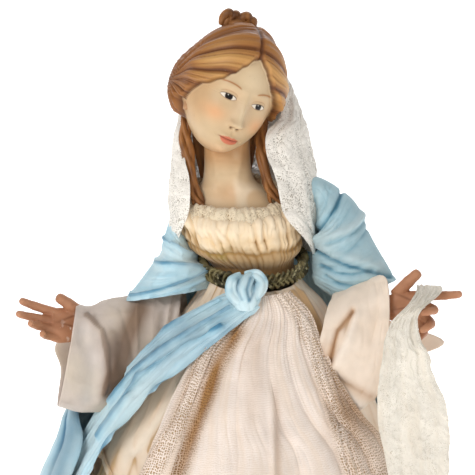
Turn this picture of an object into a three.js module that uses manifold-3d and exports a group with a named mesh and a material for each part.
// Kneeling madonna figure with open arms: a painted moulded head and hands, and a gown, mantle and
// veils of stiffened cloth, on a low oval base. Millimetres, +Z up, the figure faces -Y and +X is its
// left-hand side. The origin is the middle of the base's underside.
import * as THREE from 'three';
import { ParametricGeometry } from 'three/addons/geometries/ParametricGeometry.js';
import { mergeVertices } from 'three/addons/utils/BufferGeometryUtils.js';
import Module from 'manifold-3d';

const wasm = await Module();
wasm.setup();

// Driving dimensions.
const BASE_HEIGHT = 16;
const BASE_HALF_WIDTH = 156;
const BASE_HALF_DEPTH = 138;
const BODY_Y = -14; // the kneeling body stands forward of the middle of its robes
const HEAD_HEIGHT = 74;
const WAIST_Z = 280; // at the sides: the waist dips in front
const WAIST_DIP = 10;
const NECKLINE_Z = 320;
const NECKLINE_DIP = 13;
const HEM_Z = 30;
const CLEAR = 0.4; // air left between two pieces that touch
const CLOTH = 2.4; // thickness of a stiffened cloth

const { clamp, lerp, degToRad, smoothstep } = THREE.MathUtils;
const at = (x, y, z) => new THREE.Vector3(x, y, z);
const TURN = 2 * Math.PI;

// Evenly spaced values from one number to another.
const steps = (from, to, count) => Array.from({ length: count + 1 }, (_, i) => lerp(from, to, i / count));

// Reads a table of [key, value, value ...] rows smoothly, at a key between its rows.
function read(table, key) {
  const last = table.length - 1;
  const rising = Math.sign(table[last][0] - table[0][0]);
  let i = 0;
  while (i < last - 1 && (key - table[i + 1][0]) * rising > 0) i += 1;
  const [p, q] = [table[i], table[i + 1]];
  const span = q[0] - p[0];
  const t = clamp((key - p[0]) / span, 0, 1);
  const slope = (k, c) => {
    const [a, b] = [table[Math.max(k - 1, 0)], table[Math.min(k + 1, last)]];
    return ((b[c] - a[c]) / (b[0] - a[0])) * span;
  };
  return p.slice(1).map((value, n) => {
    const c = n + 1;
    const [m0, m1] = [slope(i, c), slope(i + 1, c)];
    const rest = q[c] - value;
    return value + t * (m0 + t * (3 * rest - 2 * m0 - m1 + t * (m0 + m1 - 2 * rest)));
  });
}

// A row of soft folds: 0 in the sharp valleys, which are one unit of x apart, and 1 on the round crests.
const pleat = (x) => Math.abs(Math.sin(Math.PI * x)) ** 0.75;

// A smooth bump of height 1 at 0.
const bump = (x, width) => Math.exp(-((x / width) ** 2));

// A closed surface as a solid.
function solidOf(geometry) {
  geometry.deleteAttribute('normal');
  geometry.deleteAttribute('uv');
  const merged = mergeVertices(geometry, 1e-3);
  const corners = merged.index.array;
  const faces = [];
  for (let i = 0; i < corners.length; i += 3) {
    const [a, b, c] = corners.slice(i, i + 3);
    if (a !== b && b !== c && c !== a) faces.push(a, b, c);
  }
  const build = (triVerts) => new wasm.Manifold(new wasm.Mesh({
    numProp: 3,
    vertProperties: merged.attributes.position.array,
    triVerts: new Uint32Array(triVerts),
  }));
  const made = build(faces);
  return made.volume() > 0 ? made : build(faces.reverse());
}

// A closed lump: point(u, v) goes round with u, v takes each row in turn, and both ends close on
// their middles.
function lump(point, around, rows) {
  const middle = (v) => {
    const sum = at(0, 0, 0);
    for (let i = 0; i < around; i += 1) sum.add(point(i / around, v));
    return sum.divideScalar(around);
  };
  const ends = [middle(rows[0]), middle(rows.at(-1))];
  return solidOf(new ParametricGeometry((u, v, target) => {
    const row = Math.round(v * (rows.length + 1)) - 1;
    if (row < 0) target.copy(ends[0]);
    else if (row === rows.length) target.copy(ends[1]);
    else target.copy(point((Math.round(u * around) % around) / around, rows[row]));
  }, around, rows.length + 1));
}

// A lump with a hollow: the outside runs from v = 0 to the rim at 1, and the inside back to v = depth.
function cup(outside, inside, around, outerRows, innerRows, depth = 0) {
  const rows = [...steps(0, 1, outerRows), ...steps(2, 3 - depth, innerRows)];
  return lump((u, v) => (v <= 1 ? outside(u, v) : inside(u, 3 - v)), around, rows);
}

// The direction that a surface faces at (u, v).
function facing(point, u, v) {
  const step = 0.01;
  const [u0, u1] = [Math.max(u - step, 0), Math.min(u + step, 1)];
  const [v0, v1] = [Math.max(v - step, 0), Math.min(v + step, 1)];
  const across = point(u1, v).sub(point(u0, v));
  return across.cross(point(u, v1).sub(point(u, v0))).normalize();
}

// A sheet of cloth with four free edges, which thin out to nothing. Both its sides are split into
// triangles the same way, so they keep their distance.
function sheet(point, across, along, thickness = CLOTH) {
  const onEdge = ([i, j]) => i === 0 || i === across || j === 0 || j === along;
  const places = [];
  const faces = [];
  for (const side of [1, -1]) {
    const first = places.length / 3;
    for (const v of steps(0, 1, along)) {
      for (const u of steps(0, 1, across)) {
        const edge = onEdge([Math.round(u * across), Math.round(v * along)]);
        const out = edge ? 0 : (side * thickness) / 2;
        places.push(...point(u, v).addScaledVector(facing(point, u, v), out));
      }
    }
    for (let cell = 0; cell < across * along; cell += 1) {
      const [i, j] = [cell % across, Math.floor(cell / across)];
      const quad = [[i, j], [i + 1, j], [i + 1, j + 1], [i, j + 1]];
      const halves = [[quad[0], quad[1], quad[3]], [quad[1], quad[2], quad[3]]];
      for (const half of halves.filter((corners) => !corners.every(onEdge))) {
        const face = half.map(([x, y]) => first + y * (across + 1) + x);
        faces.push(...(side > 0 ? face : face.reverse()));
      }
    }
  }
  const geometry = new THREE.BufferGeometry();
  geometry.setAttribute('position', new THREE.BufferAttribute(new Float32Array(places), 3));
  geometry.setIndex(faces);
  return solidOf(geometry);
}

// A ring: point(u, v) goes round the ring with v and round its section with u.
function ring(point, around, along) {
  return solidOf(new ParametricGeometry((u, v, target) => target.copy(
    point((Math.round(u * around) % around) / around, (Math.round(v * along) % along) / along),
  ), around, along));
}

// A geometry of a solid's corners and faces.
function geometryOf(solid) {
  const mesh = solid.getMesh();
  const geometry = new THREE.BufferGeometry();
  geometry.setAttribute('position', new THREE.BufferAttribute(new Float32Array(mesh.vertProperties), 3));
  geometry.setIndex(new THREE.BufferAttribute(new Uint32Array(mesh.triVerts), 1));
  return geometry;
}

// The same solid, swollen to cut a neighbour with: each corner moves out until all its faces have
// moved by the distance.
function grown(solid, distance = CLEAR) {
  const geometry = geometryOf(solid);
  const { position } = geometry.attributes;
  const cornerAt = (_, i) => at(0, 0, 0).fromBufferAttribute(position, i);
  const corners = Array.from({ length: position.count }, cornerAt);
  const sides = corners.map(() => []);
  const faces = geometry.index.array;
  for (let i = 0; i < faces.length; i += 3) {
    const face = new THREE.Triangle(...[0, 1, 2].map((k) => corners[faces[i + k]]));
    const normal = face.getNormal(at(0, 0, 0));
    [0, 1, 2].forEach((k) => sides[faces[i + k]].push(normal));
  }
  corners.forEach((corner, i) => {
    const way = sides[i].reduce((sum, side) => sum.add(side), at(0, 0, 0)).normalize();
    const least = Math.max(0.35, Math.min(...sides[i].map((side) => side.dot(way))));
    const moved = corner.clone().addScaledVector(way, distance / least);
    position.setXYZ(i, moved.x, moved.y, moved.z);
  });
  return solidOf(geometry);
}

const largest = (solid) => solid.decompose().sort((a, b) => b.volume() - a.volume())[0];

// What is left of a solid once its neighbours, swollen, are cut away: its largest piece.
const clearOf = (solid, ...neighbours) => (
  largest(neighbours.reduce((rest, other) => rest.subtract(grown(other)).subtract(other), solid))
);

const joined = (...solids) => largest(solids.reduce((whole, piece) => whole.add(piece)));

// A limb from a table of [along, centre, half axis, half axis] rows, nine numbers after the key.
function limb(table, size = () => 1) {
  return (u, v) => {
    const [cx, cy, cz, ax, ay, az, bx, by, bz] = read(table, v);
    const grow = size(u, v);
    const [c, s] = [Math.cos(TURN * u) * grow, Math.sin(TURN * u) * grow];
    return at(cx + ax * c + bx * s, cy + ay * c + by * s, cz + az * c + bz * s);
  };
}

// Base: an oval turned moulding.
function makeBase() {
  const rim = [[0, 0], [1, 0], [1, 0.3], [0.96, 0.45], [0.95, 0.9], [0.94, 1], [0, 1]];
  const profile = rim.map(([r, z]) => new THREE.Vector2(r * BASE_HALF_WIDTH, z * BASE_HEIGHT));
  const turned = new THREE.LatheGeometry(profile, 30);
  turned.rotateX(Math.PI / 2);
  turned.scale(1, BASE_HALF_DEPTH / BASE_HALF_WIDTH, 1);
  return solidOf(turned);
}

// The gown's bell by height: half width to the figure's right, to its left, half depth, middle x, middle y.
const BELL = [
  [0, 130, 120, 108, -2, 0],
  [60, 122, 112, 98, -2, -5],
  [110, 110, 101, 87, 0, -9],
  [158, 97, 92, 74, 1, -12],
  [200, 78, 78, 59, 3, BODY_Y],
  [240, 54, 57, 42, 6, BODY_Y],
  [262, 38, 43, 31, 8, BODY_Y],
  [276, 30, 30, 24, 8, BODY_Y],
  [290, 28, 28, 22, 8, BODY_Y],
];

// A point on the bell at an angle from the front, positive towards the figure's left, and a height.
function onBell(angle, z, out) {
  const [right, left, depth, cx, cy] = read(BELL, z);
  const side = lerp(right, left, 0.5 + 0.5 * Math.sin(angle));
  return at(cx + (side + out) * Math.sin(angle), cy - (depth + out) * Math.cos(angle), z);
}

const waistHeight = (angle) => WAIST_Z - WAIST_DIP * Math.cos(angle);

// The hem is hitched up at the figure's right, and low in front and at its left.
const hemHeight = (angle) => HEM_Z + 142 * bump(angle + degToRad(75), degToRad(70));

// Folds that run down the gown: calm under the sash and apron, and deep at the sides.
const GOWN_FOLD = 7;
function gownFolds(angle, z) {
  const drop = clamp((WAIST_Z - z) / WAIST_Z, 0, 1);
  const calm = 1 - 0.65 * smoothstep(Math.cos(angle - 0.15), 0.1, 0.5);
  return GOWN_FOLD * drop ** 0.7 * calm * pleat((angle * 13) / TURN + 0.12 * Math.sin(3 * angle) + 0.4);
}

const PETTICOAT_TOP = 214;
const PETTICOAT_INSET = 13;
const GOWN_WALL = 4;

function makePetticoat() {
  return lump((u, v) => {
    const angle = TURN * (u - 0.5);
    const z = lerp(BASE_HEIGHT + CLEAR, PETTICOAT_TOP, v);
    return onBell(angle, z, 2.5 * pleat(u * 17) - PETTICOAT_INSET);
  }, 34, [0, 0.3, 0.68, 1]);
}

function makeGownSkirt() {
  const outside = (u, v) => {
    const angle = TURN * (u - 0.5);
    const z = lerp(waistHeight(angle), hemHeight(angle), v);
    return onBell(angle, z, gownFolds(angle, z) - 1);
  };
  const inside = (u, v) => {
    const angle = TURN * (u - 0.5);
    return onBell(angle, lerp(PETTICOAT_TOP + 6, hemHeight(angle), v), -GOWN_WALL);
  };
  return cup(outside, inside, 42, 6, 2);
}

// Head frame: where the head sits and how it leans to its left, turns and bows.
const HEAD_AT = at(-6, -18, 389);
const HEAD_TURN = new THREE.Matrix4().makeRotationFromEuler(
  new THREE.Euler(degToRad(7), degToRad(24), degToRad(23), 'YXZ'),
);
const inHead = (x, y, z) => at(x, y, z).applyMatrix4(HEAD_TURN).add(HEAD_AT);

const HALF_FACE = 0.33 * HEAD_HEIGHT;
const HALF_HEAD = 0.5 * HEAD_HEIGHT;

// How far the face stands forward of a plain oval, by its place across and up the face.
function faceRelief(x, z) {
  const pair = (px, pz, wx, wz) => (bump(x - px, wx) + bump(x + px, wx)) * bump(z - pz, wz);
  const one = (pz, wx, wz) => bump(x, wx) * bump(z - pz, wz);
  const down = clamp((5 - z) / 19, 0, 1);
  const ridge = (1 + 7 * down) * bump(x, 2.6 + 1.6 * down);
  const nose = ridge * smoothstep(z, -17, -13) * (1 - smoothstep(z, 2, 9));
  return nose + 1.2 * pair(10, 6, 7, 3) - 2.6 * pair(10.5, 0, 5.5, 4) + 2.4 * one(-22, 9, 5)
    + 1.2 * one(-22, 5, 2) - 1 * one(-28.5, 5, 2) + 3 * one(-33, 6.5, 4) + 1.5 * pair(14, -11, 8, 8);
}

// Where the hair is fuller: over the ear, in the nape and at the temple, each with its extra thickness.
const FULLER = [[-21.2, 19, -0.7, 4.5], [-21.3, 13.7, -14.4, 3.5], [-22, -6, 6, 2]];

function hairThickness(x, y, z) {
  const swept = 3.6 + 3.5 * bump(x - 24, 10) * bump(z - 7, 16);
  const fuller = ([px, py, pz, high]) => high * bump(Math.hypot(x - px, y - py, z - pz), 11);
  return FULLER.reduce((sum, place) => sum + fuller(place), swept);
}

// 1 where hair covers the head, 0 on the face and under the jaw.
function hairCover(x, y, z) {
  const hairline = 29 - 1.25 * Math.hypot(x, 2.45);
  const above = smoothstep(z, hairline - 2.5, hairline + 2.5);
  const overEar = Math.max(-16 - 1.25 * y, -13);
  const side = smoothstep(y, -17, -11) * smoothstep(z - overEar, -3, 3);
  const nape = smoothstep(y, 0, 6) * smoothstep(z, -27, -20);
  return Math.max(above * smoothstep(z, -15, -11), side, nape);
}

function headPoint(u, v) {
  const azimuth = TURN * u - 0.6 * Math.sin(TURN * u);
  const polar = Math.PI * v;
  const dz = -Math.cos(polar);
  // The jaw is fuller than the crown.
  const level = dz < 0 ? Math.sqrt(1 - Math.abs(dz) ** 3.2) : Math.sin(polar);
  const [dx, dy] = [-Math.sin(azimuth) * level, -Math.cos(azimuth) * level];
  const z = HALF_HEAD * dz;
  const jaw = 1 - 0.3 * smoothstep(-z, 4, HALF_HEAD) ** 1.3;
  const x = dx * HALF_FACE * jaw * 1.06;
  const y = dy * (dy < 0 ? 29 : 33) * (1 - 0.1 * smoothstep(-z, 0, HALF_HEAD));
  const hair = hairCover(x, y, z);
  const relief = faceRelief(x, z) * smoothstep(-y, 4, 18) * (1 - hair);
  const forward = relief + 6 * smoothstep(-z, 6, 34) * smoothstep(-y, -20, 10);
  const out = hairThickness(x, y, z) * hair;
  return inHead(x + dx * out, y - forward + dy * out, z + dz * out);
}

// Neck, shoulders and chest below the head.
const CHEST = [
  [0, 0, BODY_Y, 298, 28, 0, 0, 0, 15, 0],
  [0.22, -1, BODY_Y, 312, 28, 0, 0, 0, 17, 0],
  [0.4, -3, BODY_Y, 321, 27, 0, 0, 0, 15.5, 0],
  [0.55, -5, BODY_Y, 329, 22, 0, 0, 0, 14, 0],
  [0.7, -7, BODY_Y - 1, 337, 15, 0, 0, 0, 13, 0],
  [1, -8, BODY_Y - 2, 362, 13.5, 0, 0, 0, 13.5, 0],
];

// Hair that falls behind the neck, under the veil.
const FALL = [
  [0, -6, 3, 392, 22, 0, 0, 0, 7, 0],
  [0.5, -9, 1, 362, 20, 0, 0, 0, 6, 0],
  [1, -9, 0, 334, 15, 0, 0, 0, 4, 0],
];

// A soft round strand along a curve, thick at the root and thin at the tip.
function strand(points, root, tip, around = 5, along = 5) {
  const curve = new THREE.CatmullRomCurve3(points);
  return lump((u, v) => {
    const ahead = curve.getTangent(v);
    const across = at(0, 1, 0).cross(ahead).normalize();
    const over = ahead.clone().cross(across);
    const radius = lerp(root, tip, v) * Math.sin(Math.PI * clamp(v * 0.84 + 0.1, 0, 1)) ** 0.5;
    return curve.getPoint(v).addScaledVector(across, radius * Math.cos(TURN * u))
      .addScaledVector(over, radius * Math.sin(TURN * u));
  }, around, steps(0, 1, along));
}

function makeBust() {
  const head = lump(headPoint, 26, steps(0.07, 0.94, 18));
  const chest = lump(limb(CHEST), 16, steps(0, 1, 6));
  const curls = [
    [[-15.5, 16, 32], [-16, 16, 37], [-14, 15.5, 40.5], [-11.5, 15.5, 38.5], [-11.5, 16, 34]],
    [[-12.5, 15.5, 34], [-11, 15, 39], [-9.5, 15, 41], [-8, 15, 38.5], [-8, 15.5, 34]],
    [[-7, 13, 35], [-6.5, 12.5, 40.5], [-4, 12, 43], [-2, 12, 41], [-3.5, 13, 35]],
    [[-3.5, 12.5, 35], [-1, 12, 40], [0.5, 11.5, 41.5], [1.5, 11.5, 38.5], [0, 12.5, 33]],
    [[-12, 13.5, 34.5], [-7.5, 11, 37.5], [-3, 10, 37], [0.5, 10, 34]],
  ].map((points) => strand(points.map((point) => inHead(...point)), 3.3, 3.3, 5, 4));
  const tresses = [
    [[-33, -13, 374], [-32.5, -17, 360], [-31, -20, 348],
      [-28.5, -24, 336], [-26, -27, 326], [-23, -26, 319]],
    [[13, -10, 376], [13, -18, 362], [13, -24, 350], [15.6, -27, 338], [18.5, -27, 329], [22, -25, 321]],
  ].map((points) => strand(points.map((point) => at(...point)), 4.4, 4.6, 5, 6));
  const fall = lump(limb(FALL), 8, steps(0, 1, 2));
  return joined(head, chest, fall, ...curls, ...tresses);
}

// Bodice: half width, half depth, middle x by height, gathered in a row of small pleats.
const BODICE = [
  [283, 29, 21, 8],
  [292, 33, 24, 4],
  [303, 34.5, 24.5, 1],
  [313, 33.5, 22.5, -1],
  [325, 30.5, 18, -3],
];
const BODICE_WALL = 2.6;

function onBodice(angle, z, out) {
  const [width, depth, cx] = read(BODICE, z);
  return at(cx + (width + out) * Math.sin(angle), BODY_Y - (depth + out) * Math.cos(angle), z);
}

const necklineHeight = (angle) => NECKLINE_Z - NECKLINE_DIP * Math.cos(angle);

function makeBodice() {
  const outside = (u, v) => {
    const angle = TURN * u;
    const foot = WAIST_Z + 1.5 - 0.7 * WAIST_DIP * Math.cos(angle);
    const inBelt = 1 - smoothstep(v, 0.25, 0.4);
    const z = lerp(foot, necklineHeight(angle), v);
    return onBodice(angle, z, 1.5 * pleat(u * 17) * (1 - inBelt) - 6 * inBelt);
  };
  const inside = (u, v) => {
    const angle = TURN * u;
    return onBodice(angle, lerp(296, necklineHeight(angle), v), -BODICE_WALL);
  };
  return cup(outside, inside, 34, 5, 1);
}

// Belt: a twisted braid round the waist.
const BELT_HALF_HEIGHT = 5;

function beltPoint(u, v) {
  const [around, across] = [TURN * v, TURN * u];
  const twist = 1 + 0.2 * Math.cos(2 * across + 9 * around);
  const out = 2.6 + 2.3 * Math.cos(across) * twist;
  const up = BELT_HALF_HEIGHT * Math.sin(across) * twist;
  const z = waistHeight(around) + BELT_HALF_HEIGHT * 1.2 + CLEAR + up;
  return at(8 + (28.5 + out) * Math.sin(around), BODY_Y - (21 + out) * Math.cos(around), z);
}

// Collar: a frilled band of lace round the neckline.
function collarPoint(u, v) {
  const [around, across] = [TURN * v, TURN * u];
  const frill = 0.5 + 0.5 * Math.cos(around * 11);
  const front = Math.max(Math.cos(around), 0);
  const z = necklineHeight(around) + 0.6 + 4 * front + (3.6 + 1.6 * front + 0.6 * frill) * Math.sin(across);
  return onBodice(around, z, 3 + (1 + 0.4 * frill) * Math.cos(across));
}

// Hands: each is built from its wrist, with its ways forward, to the thumb and out of the palm.
const HAND_LENGTH = 49;
const FINGER_SHARE = [0.52, 0.57, 0.53, 0.42]; // of the hand's length, index to little finger

function makeForearm({ wrist, forward, thumbward, palmward, elbow }) {
  return lump((u, v) => {
    const [c, s] = [Math.cos(TURN * u), Math.sin(TURN * u)];
    const middle = v < 1 ? elbow : wrist.clone().addScaledVector(forward, 2);
    return middle.clone().addScaledVector(thumbward, 5 * c).addScaledVector(palmward, 4.2 * s);
  }, 7, [0, 1]);
}

function makeHand(hand) {
  const { wrist, forward, thumbward, palmward, bends, spreads, thumb } = hand;
  const size = HAND_LENGTH / 50;
  const frame = new THREE.Matrix4().makeBasis(forward, thumbward, palmward).setPosition(wrist);
  const place = (x, y, z) => at(x * size, y * size, z * size).applyMatrix4(frame);
  const palm = lump((u, v) => {
    const [wide, thick] = read([[0, 5.6, 4.4], [0.3, 9.4, 5], [0.8, 11.2, 4.2], [1, 9.8, 3.2]], v);
    return place(-3 + 27 * v, wide * Math.cos(TURN * u), thick * Math.sin(TURN * u));
  }, 9, steps(0, 1, 3));
  const finger = (root, spread, [bend, curl], length, radius) => {
    const points = [root];
    [0.46, 0.3, 0.24].forEach((share, joint) => {
      const [down, reach] = [bend + curl * joint, share * length];
      points.push(points[joint].clone().add(at(
        reach * Math.cos(down) * Math.cos(spread), reach * Math.sin(spread), reach * Math.sin(down),
      )));
    });
    const curve = new THREE.CatmullRomCurve3(points.map((p) => place(p.x, p.y, p.z)));
    return lump((u, v) => {
      const ahead = curve.getTangent(v);
      const across = thumbward.clone().addScaledVector(ahead, -thumbward.dot(ahead)).normalize();
      const over = ahead.clone().cross(across);
      const thick = size * radius * lerp(1, 0.75, v) * (v === 1 ? 0.6 : 1);
      return curve.getPoint(v).addScaledVector(across, thick * Math.cos(TURN * u))
        .addScaledVector(over, thick * Math.sin(TURN * u));
    }, 6, steps(0, 1, 3));
  };
  const fingers = FINGER_SHARE.map((share, n) => finger(
    at(20.5 - 0.9 * Math.abs(n - 1), 7.4 - 5 * n, 0), spreads[n], bends[n], share * 50, 3.1 - 0.12 * n,
  ));
  const pollex = finger(at(4, 7, 1), thumb.spread, thumb.bend, 21, 3.7);
  return joined(makeForearm(hand), palm, ...fingers, pollex);
}

// The ways of a hand, from where its fingers and its thumb point.
function waysOf(forward, thumb, side) {
  forward.normalize();
  const thumbward = thumb.addScaledVector(forward, -thumb.dot(forward)).normalize();
  return { forward, thumbward, palmward: forward.clone().cross(thumbward).multiplyScalar(side) };
}

const RIGHT_HAND = {
  ...waysOf(at(-0.86, -0.5, 0.06), at(-0.1, 0.15, 1), -1),
  wrist: at(-91.5, -27, 249),
  elbow: at(-72, -18, 247),
  bends: [[-0.1, 0.16], [0, 0.18], [0.2, 0.3], [0.35, 0.35]],
  spreads: [0.3, 0.16, 0.13, 0.1],
  thumb: { spread: 0.5, bend: [0.3, -0.12] },
};
const LEFT_HAND = {
  ...waysOf(at(0.95, -0.3, 0), at(0, 0.35, 1), 1),
  wrist: at(87, -45, 262),
  elbow: at(72, -34, 257),
  bends: [[0.05, 0.15], [0.7, 0.95], [0.55, 1], [0.6, 1]],
  spreads: [0.05, -0.35, -0.6, -0.8],
  thumb: { spread: 0.75, bend: [0.3, -0.1] },
};

// Sleeves: [along, centre, half thickness, half height] from the upper arm to the hanging mouth.
const RIGHT_SLEEVE = [
  [0, -34, BODY_Y, 254, 2, 12, 0, 0, 2, 15],
  [0.25, -50, BODY_Y - 2, 249, 2, 13, 0, -2, 4, 21],
  [0.5, -65, BODY_Y - 6, 239, 3, 13, 0, -2, 4, 27],
  [0.7, -79, BODY_Y - 11, 231, 3, 13, 0, -1, 3, 33],
  [0.85, -91, BODY_Y - 15, 229, 0, 13, 0, 2, 2, 32],
  [1, -103, BODY_Y - 19, 232, -2, 13, 0, 5.6, 1, 30.5],
];
const LEFT_SLEEVE = [
  [0, 52, BODY_Y - 16, 248, 4, 20, 0, 4, 3, 19],
  [0.3, 58, BODY_Y - 20, 246, 2, 20, 0, 7, 4, 26],
  [0.6, 71, BODY_Y - 24, 240, -3, 18, 0, 7, 4, 37.5],
  [1, 86, BODY_Y - 32, 243.5, -5, 14, 0, 3.5, 3, 36.5],
];

// A sleeve's mouth stands out in a soft corner at its far side, at a height of its own: its share of
// the mouth's half height, and how far it stands out along X.
const RIGHT_CORNER = [0.1, -6.6];
const LEFT_CORNER = [-0.07, 36];

function withCorner(point, [height, out]) {
  return (u, v) => {
    const corner = point(u, v);
    const far = Math.max(Math.cos(TURN * u), 0) ** 0.5 * bump(Math.sin(TURN * u) - height, 0.3);
    corner.x += out * far * v ** 4;
    return corner;
  };
}

function makeSleeve(table, corner, hand, ...neighbours) {
  const folds = (u, v) => 1 + 0.08 * (1 - v) * (pleat(3.5 * v + 0.6 * Math.sin(TURN * u)) - 0.5);
  const hollow = table.map((row) => row.map((value, i) => value * (i < 4 ? 1 : i < 7 ? 0.78 : 0.93)));
  const outside = withCorner(limb(table, folds), corner);
  const inside = withCorner(limb(hollow), corner);
  return clearOf(cup(outside, inside, 16, 6, 1, 0.72), hand, ...neighbours);
}

// Mantle: round each upper arm, and down the back.
const LEFT_WRAP = [
  [0, 38, BODY_Y, 330, 0, 5, 0, 0.5, 0, 8],
  [0.08, 47, BODY_Y, 328, 0, 9, 0, 1.5, 0, 8],
  [0.25, 52, BODY_Y, 315, 0, 15, 0, 7, 0, 15],
  [0.5, 57, BODY_Y - 1, 302, 0, 18, 0, 13, 0, 18],
  [0.75, 62, BODY_Y - 3, 287, 0, 18, 0, 17, 0, 13],
  [1, 75, BODY_Y - 7, 271, -2, 14, 0, 18, 0, 5],
];
const RIGHT_WRAP = [
  [0, -36.5, BODY_Y + 4, 321, 0, 8, 0, -2.5, 0, 4],
  [0.3, -38, BODY_Y + 2, 304, 0, 14, 0, -6, 0, 2],
  [0.6, -37, BODY_Y + 2, 288, 0, 20, 0, -13, 0, 1],
  [0.8, -38, BODY_Y, 276, 0, 19, 0, -24, 0, -4],
  [1, -43, BODY_Y - 2, 267, 0, 17, 0, -27, 0, -4],
];
// Folds that fan out over a wrap from its inner, lower corner.
const fanned = (u, v) => 1 + 0.12 * smoothstep(v, 0, 0.3) * (pleat(3.4 * v + 0.9 * Math.sin(TURN * u)) - 0.4);

const CAPE_TOP = 324;

// Cape by height: half width, half depth, middle x, middle y, and how far round it reaches from the
// back, in degrees, to the figure's right and left.
const CAPE = [
  [16, 148, 124, -2, 4, 122, 96],
  [60, 139, 114, -2, 0, 120, 95],
  [110, 128, 102, -1, -3, 118, 92],
  [158, 114, 90, 0, -5, 118, 88],
  [186, 103, 81, 1, -7, 114, 86],
  [204, 96, 75, 2, -8, 84, 84],
  [240, 76, 60, 4, -10, 76, 78],
  [280, 56, 44, 4, BODY_Y, 74, 76],
  [305, 49, 38, 4, BODY_Y, 68, 80],
  [CAPE_TOP, 47, 35, 3, BODY_Y, 56, 86],
];

function capePoint(u, v) {
  const z = lerp(BASE_HEIGHT + CLEAR, CAPE_TOP, v ** 0.75);
  const [width, depth, cx, cy, right, left] = read(CAPE, z);
  const low = 1 - v;
  const angle = degToRad(lerp(-right, left, u));
  const out = (1.5 + 8 * low) * pleat(u * 6 + 0.3 * Math.sin(5 * u));
  return at(cx + (width + out) * Math.sin(angle), cy + (depth + out) * Math.cos(angle), z);
}

function makeMantle(...neighbours) {
  const rows = [0, ...steps(0.08, 1, 5)];
  const wraps = [LEFT_WRAP, RIGHT_WRAP].map((table) => lump(limb(table, fanned), 12, rows));
  return clearOf(joined(...wraps, sheet(capePoint, 24, 6, CLOTH + 0.6)), ...neighbours);
}

// Apron: from the waist down the front, its right and left edges in degrees by share of its way up.
const APRON_HEM = 46;
const APRON = [
  [0, -50, 86],
  [0.5, -37, 69],
  [0.61, -35, 63],
  [0.675, -34, 54],
  [0.745, -33, 47.5],
  [0.86, -29, 42],
  [0.95, -16, 40],
  [1, -10, 32],
];

function apronPoint(u, v) {
  const [right, left] = read(APRON, v);
  const angle = degToRad(lerp(right, left, u));
  const z = lerp(APRON_HEM, waistHeight(angle) - 1.5, v);
  const low = 1 - v;
  const folds = (1 + 6 * low) * pleat(u * 6 + 0.3 * Math.sin(6 * u + 2 * v));
  const ridge = 6 * low * bump(u - 0.4, 0.1);
  return onBell(angle, z, 5 + folds + ridge);
}

// Sash: its way down the gown by share of its length: angle in degrees, height, half width.
const SASH = [
  [0, -2, 268, 7],
  [0.1, -18, 262, 10],
  [0.25, -41, 244, 16],
  [0.42, -58, 218.5, 19.5],
  [0.58, -67, 188, 21],
  [0.74, -74, 148, 21],
  [0.88, -81, 90, 21],
  [1, -87, 30, 20],
];

function sashPoint(u, v) {
  const [angle, height, half] = read(SASH, v);
  const across = (2 * u - 1) * half;
  const slant = lerp(0.8, 0.2, v);
  const z = height - across * slant;
  const [right] = read(BELL, height);
  const folds = 2.6 * pleat(3 * u + 0.6 * v);
  return onBell(degToRad(angle) + (across * Math.sqrt(1 - slant ** 2)) / right, z, 9.8 + folds);
}

// The knot at the sash's root, in front of the belt: a lump with three folds of cloth drawn over it.
function knotPoint(u, v) {
  const round = Math.sin(Math.PI * clamp(0.1 + 0.8 * v, 0, 1)) ** 0.6;
  const fold = round * (1 + 0.16 * (pleat(u * 4 + v) - 0.5));
  const y = BODY_Y - 31.5 - 9 * (1 - v);
  return at(3.5 + 8 * fold * Math.cos(TURN * u), y + 6.5 * fold * Math.sin(TURN * u), lerp(261, 281, v));
}

const KNOT_FOLDS = [
  [[0, -47, 281], [-4.5, -51, 278], [-5, -53, 272], [-1, -55, 266.5], [3, -54, 264]],
  [[7.5, -48, 282], [4.5, -53, 279], [2.5, -55.5, 273], [4, -56, 268], [7, -53, 264.5]],
  [[3, -48, 281.5], [9.5, -50, 281.5], [12.5, -51.5, 277], [10.5, -53, 271], [7, -54, 266.5]],
];

function makeSash(...neighbours) {
  const knot = lump(knotPoint, 8, steps(0, 1, 3));
  const folds = KNOT_FOLDS.map((points) => strand(points.map((point) => at(...point)), 3.8, 3.8, 5, 4));
  return clearOf(joined(sheet(sashPoint, 7, 12), knot, ...folds), ...neighbours);
}

// Head veil: from behind the curls, down both sides of the head to the bodice. By share of its way: half
// width, half depth behind and in front, middle x, middle y, height, reach right and left in degrees.
const VEIL = [
  [0, 20, 18, 12, 2, 8, 404, 80, 84],
  [0.18, 32, 25, 8, 0, 4, 385, 96, 126],
  [0.31, 36, 29, 14, 1, 0, 371, 104, 144],
  [0.39, 38, 30, 24, 1, -2, 363, 116, 158],
  [0.51, 40.5, 31, 28, 1.5, -5, 350, 122, 160],
  [0.63, 42.5, 31, 30, 2, -8, 338, 131, 155],
  [0.77, 43.5, 30, 30, 2, -12, 324, 134, 151],
  [0.88, 42.5, 29, 29, 2, BODY_Y, 312, 127, 143],
  [1, 41, 28, 28, 2, BODY_Y, 291, 100, 104],
];

function veilPoint(u, v) {
  const [width, back, front, cx, cy, z, right, left] = read(VEIL, v);
  const angle = degToRad(lerp(-right, left, u));
  const depth = lerp(front, back, 0.5 + 0.5 * Math.cos(angle));
  const out = 1.8 * pleat(u * 6 + 0.3 * Math.sin(4 * u));
  return at(cx + (width + out) * Math.sin(angle), cy + (depth + out) * Math.cos(angle), z);
}

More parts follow.
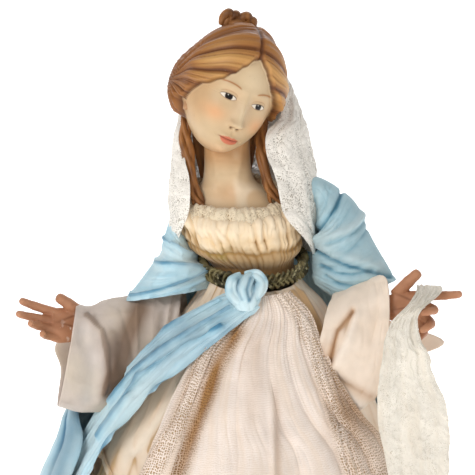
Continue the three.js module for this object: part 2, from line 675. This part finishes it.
// Hand veil: over the left palm and down: left x, right x, y, height by share of its way.
const SCARF = [
  [0, 96, 115, -42, 268],
  [0.04, 95, 117, -52, 276],
  [0.08, 94.6, 117, -62, 273.5],
  [0.12, 93, 110, -70, 268],
  [0.16, 90, 102, -73, 263],
  [0.2, 83.3, 101, -73, 256.7],
  [0.25, 82.5, 104, -73, 246.3],
  [0.3, 82, 109.3, -73, 237.6],
  [0.35, 80.6, 111, -72, 227.6],
  [0.44, 79.2, 118.5, -69, 210.8],
  [0.52, 80, 121.2, -66, 195.6],
  [0.62, 84, 122, -63, 177.4],
  [0.8, 90, 121.5, -61, 140],
  [1, 92, 121, -60, 98],
];

function scarfPoint(u, v) {
  const [left, right, y, z] = read(SCARF, v);
  const folds = 4 * smoothstep(v, 0, 0.3) * pleat(u * 3.5 + 0.5 * v);
  return at(lerp(left, right, u), y - folds, z);
}

const base = makeBase();
const petticoat = makePetticoat();
const gownSkirt = makeGownSkirt();
const gownBodice = makeBodice();
const bust = makeBust();
const belt = ring(beltPoint, 5, 30);
const collar = ring(collarPoint, 4, 33);
const rightHand = makeHand(RIGHT_HAND);
const leftHand = makeHand(LEFT_HAND);
const mantle = makeMantle(gownBodice, gownSkirt, belt, collar);
const rightSleeve = makeSleeve(RIGHT_SLEEVE, RIGHT_CORNER, rightHand, mantle, gownSkirt);
const leftSleeve = makeSleeve(LEFT_SLEEVE, LEFT_CORNER, leftHand, mantle, gownSkirt);
const apron = clearOf(sheet(apronPoint, 20, 6, 2), leftSleeve);
const sash = makeSash(rightSleeve, mantle, belt, apron, gownSkirt);
const headVeil = clearOf(sheet(veilPoint, 16, 6, 1.8), bust, mantle, collar, gownBodice);
const handVeil = clearOf(sheet(scarfPoint, 6, 12, 1.8), leftHand, leftSleeve, apron);

const finish = (color, roughness, metalness = 0) => (
  new THREE.MeshStandardMaterial({ color, roughness, metalness })
);
const WOOD = finish(0x5a3c28, 0.5);
const CREAM = finish(0xe6d2b8, 0.85);
const PEACH = finish(0xe8c99c, 0.85);
const BLUSH = finish(0xd3c4b8, 0.85);
const SKIN = finish(0xe0c9a6, 0.4);
const TERRACOTTA = finish(0xb07c5e, 0.5);
const BRAID = finish(0x4a4a30, 0.45, 0.5);
const LACE = finish(0xe9e4dc, 0.9);
const BLUE = finish(0x8fbfd4, 0.8);
const GAUZE = finish(0xe8ded2, 0.9);

const figure = new THREE.Group();
const pieces = [
  ['base', base, WOOD],
  ['petticoat', petticoat, PEACH],
  ['gown_skirt', gownSkirt, CREAM],
  ['gown_bodice', gownBodice, PEACH],
  ['bust', bust, SKIN],
  ['belt', belt, BRAID],
  ['lace_collar', collar, LACE],
  ['right_hand', rightHand, TERRACOTTA],
  ['left_hand', leftHand, TERRACOTTA],
  ['right_sleeve', rightSleeve, BLUSH],
  ['left_sleeve', leftSleeve, CREAM],
  ['mantle', mantle, BLUE],
  ['sash', sash, BLUE],
  ['gauze_apron', apron, GAUZE],
  ['head_veil', headVeil, LACE],
  ['hand_veil', handVeil, GAUZE],
];
for (const [name, solid, material] of pieces) {
  const geometry = geometryOf(solid);
  geometry.computeVertexNormals();
  const piece = new THREE.Mesh(geometry, material);
  piece.name = name;
  figure.add(piece);
}

export default figure;
